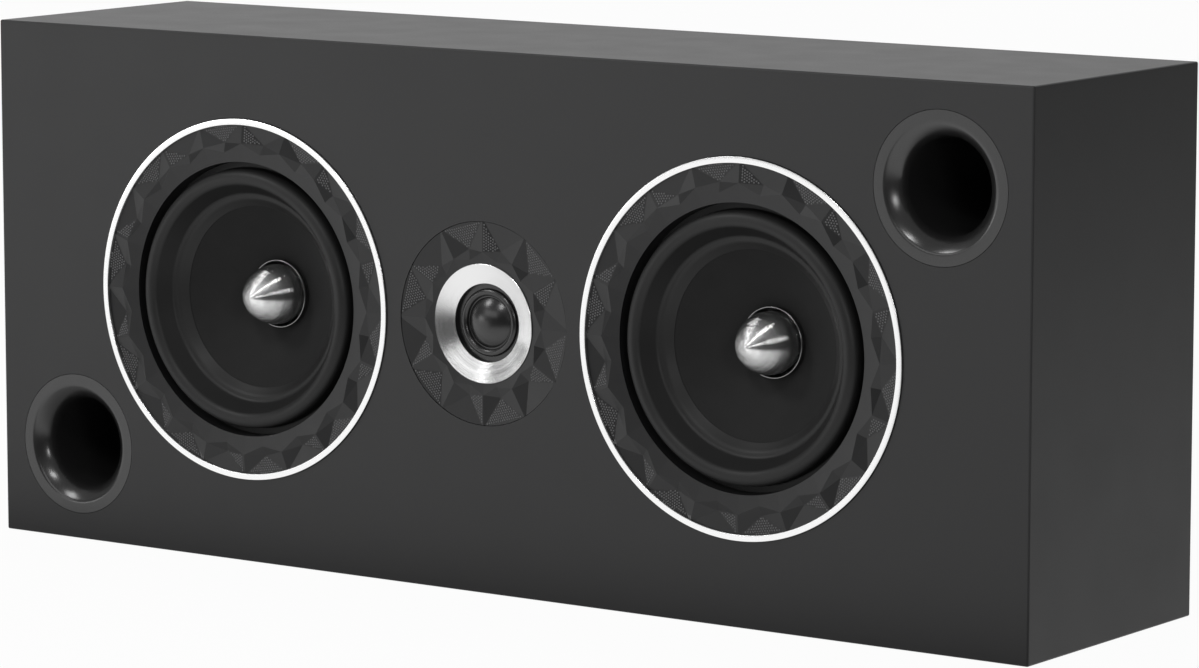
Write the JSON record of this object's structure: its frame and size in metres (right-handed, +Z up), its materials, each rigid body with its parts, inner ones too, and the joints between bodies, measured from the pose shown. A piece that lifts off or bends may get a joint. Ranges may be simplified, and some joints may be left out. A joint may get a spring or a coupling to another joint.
{
  "type": "home theater speaker",
  "caption": "Low wide cabinet speaker with woofers and bullet plugs beside a dome tweeter, faceted trims, bright rings and flared bass ports.",
  "frame": {"origin": "middle of the footprint, on the surface that the speaker stands on", "axes": "+X to the right seen from the front, +Y from the front to the back, +Z up"},
  "size_m": [0.6284, 0.1536, 0.2701],
  "materials": {
    "satin_black_cabinet": "satin black lacquer over fibreboard",
    "bare_fibreboard": "raw fibreboard",
    "damping_foam": "open-cell foam",
    "bright_trim": "satin turned",
    "facet_plastic": "moulded satin",
    "chassis_metal": "black powder coat",
    "gasket_foam": "closed-cell foam",
    "surround_rubber": "satin",
    "cone_paper": "coated pulp",
    "coil_former": "bright",
    "spider_cloth": "resin-stiffened weave",
    "plug_metal": "turned and polished",
    "motor_steel": "zinc plated",
    "ferrite": "ground",
    "screw_steel": "black zinc",
    "dome_cloth": "coated soft dome",
    "port_plastic": "satin",
    "terminal_plastic": "fine texture",
    "terminal_brass": "gold plated",
    "red_knob": "moulded red",
    "black_knob": "moulded black",
    "circuit_board": "solder mask",
    "nylon": "natural",
    "copper_wire": "enamelled copper",
    "capacitor_film": "wrapped film",
    "resistor_cement": "cement"
  },
  "bodies": {
    "cabinet": {"front_baffle": "satin_black_cabinet", "rear_panel": "satin_black_cabinet", "top_panel": "satin_black_cabinet", "bottom_panel": "satin_black_cabinet", "left_side_panel": "satin_black_cabinet", "right_side_panel": "satin_black_cabinet", "left_brace": "bare_fibreboard", "left_damping_foam": "damping_foam", "left_trim_ring": "bright_trim", "left_facet_ring": "facet_plastic", "left_basket": "chassis_metal", "left_gasket": "gasket_foam", "left_surround": "surround_rubber", "left_spider": "spider_cloth", "left_phase_plug": "plug_metal", "left_top_plate": "motor_steel", "left_magnet": "ferrite", "left_pole_yoke": "motor_steel", "left_woofer_screws": "screw_steel", "left_port": "port_plastic", "right_brace": "bare_fibreboard", "right_damping_foam": "damping_foam", "right_trim_ring": "bright_trim", "right_facet_ring": "facet_plastic", "right_basket": "chassis_metal", "right_gasket": "gasket_foam", "right_surround": "surround_rubber", "right_spider": "spider_cloth", "right_phase_plug": "plug_metal", "right_top_plate": "motor_steel", "right_magnet": "ferrite", "right_pole_yoke": "motor_steel", "right_woofer_screws": "screw_steel", "right_port": "port_plastic", "tweeter_facet_plate": "facet_plastic", "tweeter_waveguide_ring": "bright_trim", "tweeter_flange": "facet_plastic", "tweeter_dome": "dome_cloth", "tweeter_voice_coil": "coil_former", "tweeter_top_plate": "motor_steel", "tweeter_magnet": "ferrite", "tweeter_pole_yoke": "motor_steel", "tweeter_mounting_screws": "screw_steel", "terminal_cup": "terminal_plastic", "terminal_cup_screws": "screw_steel", "positive_post": "terminal_brass", "negative_post": "terminal_brass", "post_lock_nuts": "motor_steel", "crossover_board": "circuit_board", "crossover_standoffs": "nylon", "woofer_inductor": "copper_wire", "tweeter_inductor": "copper_wire", "crossover_capacitors": "capacitor_film", "crossover_resistor": "resistor_cement"},
    "left_diaphragm": {"left_cone": "cone_paper", "left_voice_coil": "coil_former"},
    "right_diaphragm": {"right_cone": "cone_paper", "right_voice_coil": "coil_former"},
    "positive_clamp": {"positive_nut": "red_knob"},
    "negative_clamp": {"negative_nut": "black_knob"}
  },
  "joints": [
    {"name": "left_cone_travel", "type": "slide", "parent": "cabinet", "child": "left_diaphragm", "axis": [0, 1, 0], "range_m": [-0.005, 0.005], "stiffness_N_per_m": 1200, "deforming": ["left_surround", "left_spider"]},
    {"name": "right_cone_travel", "type": "slide", "parent": "cabinet", "child": "right_diaphragm", "axis": [0, 1, 0], "range_m": [-0.005, 0.005], "stiffness_N_per_m": 1200, "deforming": ["right_surround", "right_spider"]},
    {"name": "positive_nut_turn", "type": "hinge", "parent": "cabinet", "child": "positive_clamp", "pos_m": [0.015, 0.0639, 0.13504], "axis": [0, 1, 0], "continuous": true},
    {"name": "negative_nut_turn", "type": "hinge", "parent": "cabinet", "child": "negative_clamp", "pos_m": [-0.015, 0.0639, 0.13504], "axis": [0, 1, 0], "continuous": true}
  ]
}
